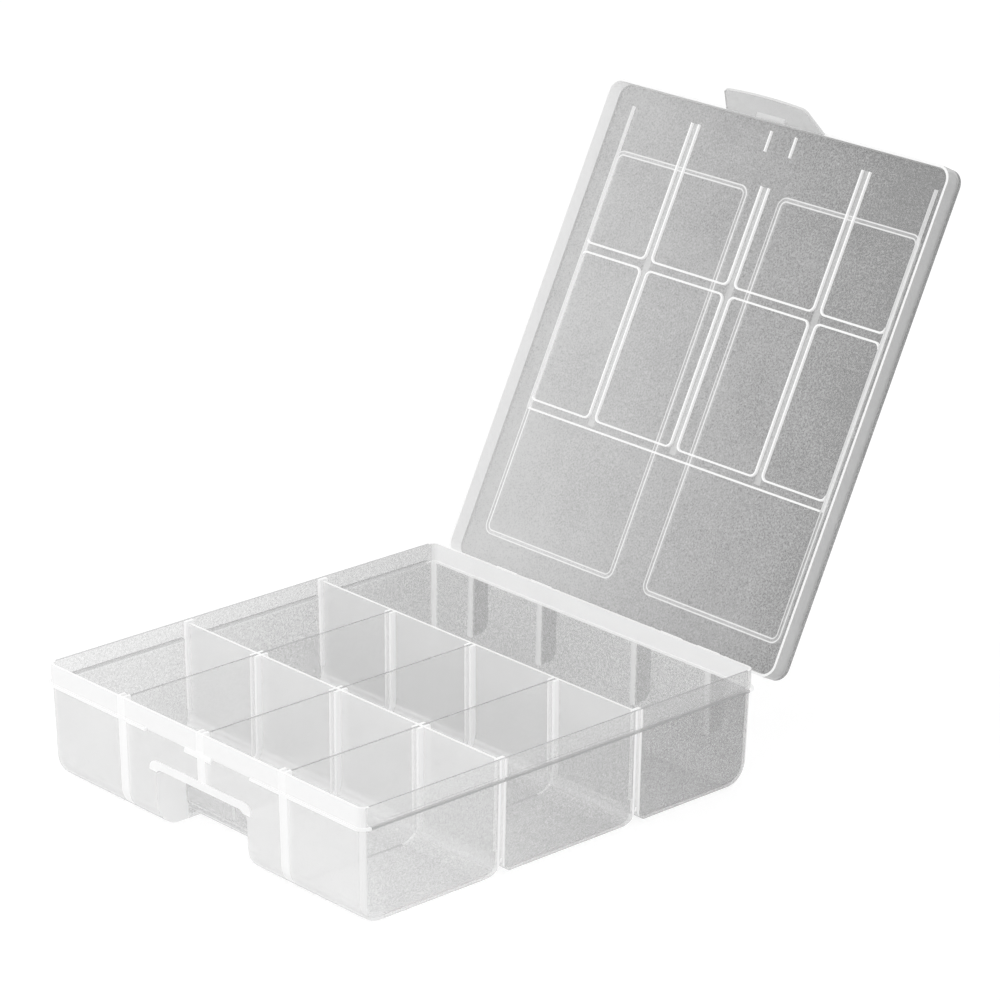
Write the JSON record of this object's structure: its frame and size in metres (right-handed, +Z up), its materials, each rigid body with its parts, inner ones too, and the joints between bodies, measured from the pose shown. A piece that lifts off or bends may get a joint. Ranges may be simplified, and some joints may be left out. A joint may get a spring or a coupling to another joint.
{
  "type": "compartment storage box",
  "caption": "Clear plastic storage box with scooped compartments, lift-out dividers, a lid hinged at the back and a latch flap over a finger pocket.",
  "frame": {"origin": "middle of the box's footprint, on the flat undersides that it stands on", "axes": "+X to the right along the front, +Y from the front to the hinge at the back, +Z up"},
  "size_m": [0.2284, 0.3718, 0.2895],
  "materials": {
    "tray_plastic": "clear moulded polypropylene with a light frosting",
    "lid_plastic": "clear moulded polypropylene with a light frosting",
    "flap_plastic": "clear moulded polypropylene with a light frosting",
    "divider_plastic": "clear moulded polypropylene with a light frosting"
  },
  "bodies": {
    "tray": {"base_tray": "tray_plastic"},
    "lid": {"lid": "lid_plastic"},
    "latch_flap": {"latch_flap": "flap_plastic"},
    "divider_front_left": {"divider_front_left": "divider_plastic"},
    "divider_front_centre": {"divider_front_centre": "divider_plastic"},
    "divider_front_right": {"divider_front_right": "divider_plastic"},
    "divider_middle_left": {"divider_middle_left": "divider_plastic"},
    "divider_middle_centre": {"divider_middle_centre": "divider_plastic"},
    "divider_middle_right": {"divider_middle_right": "divider_plastic"}
  },
  "joints": [
    {"name": "lid_hinge", "type": "hinge", "parent": "tray", "child": "lid", "pos_m": [0, 0.1295, 0.0496], "axis": [-1, 0, 0], "range_deg": [-116.5, 0]},
    {"name": "latch_flap_hinge", "type": "hinge", "parent": "lid", "child": "latch_flap", "pos_m": [0, 0.24026, 0.27568], "axis": [-1, 0, 0], "range_deg": [-32, 58], "stiffness_Nm_per_rad": 0.005},
    {"name": "divider_front_left_lift", "type": "slide", "parent": "tray", "child": "divider_front_left", "axis": [0, 0, 1], "range_m": [0, 0.06]},
    {"name": "divider_front_centre_lift", "type": "slide", "parent": "tray", "child": "divider_front_centre", "axis": [0, 0, 1], "range_m": [0, 0.06]},
    {"name": "divider_front_right_lift", "type": "slide", "parent": "tray", "child": "divider_front_right", "axis": [0, 0, 1], "range_m": [0, 0.06]},
    {"name": "divider_middle_left_lift", "type": "slide", "parent": "tray", "child": "divider_middle_left", "axis": [0, 0, 1], "range_m": [0, 0.06]},
    {"name": "divider_middle_centre_lift", "type": "slide", "parent": "tray", "child": "divider_middle_centre", "axis": [0, 0, 1], "range_m": [0, 0.06]},
    {"name": "divider_middle_right_lift", "type": "slide", "parent": "tray", "child": "divider_middle_right", "axis": [0, 0, 1], "range_m": [0, 0.06]}
  ]
}
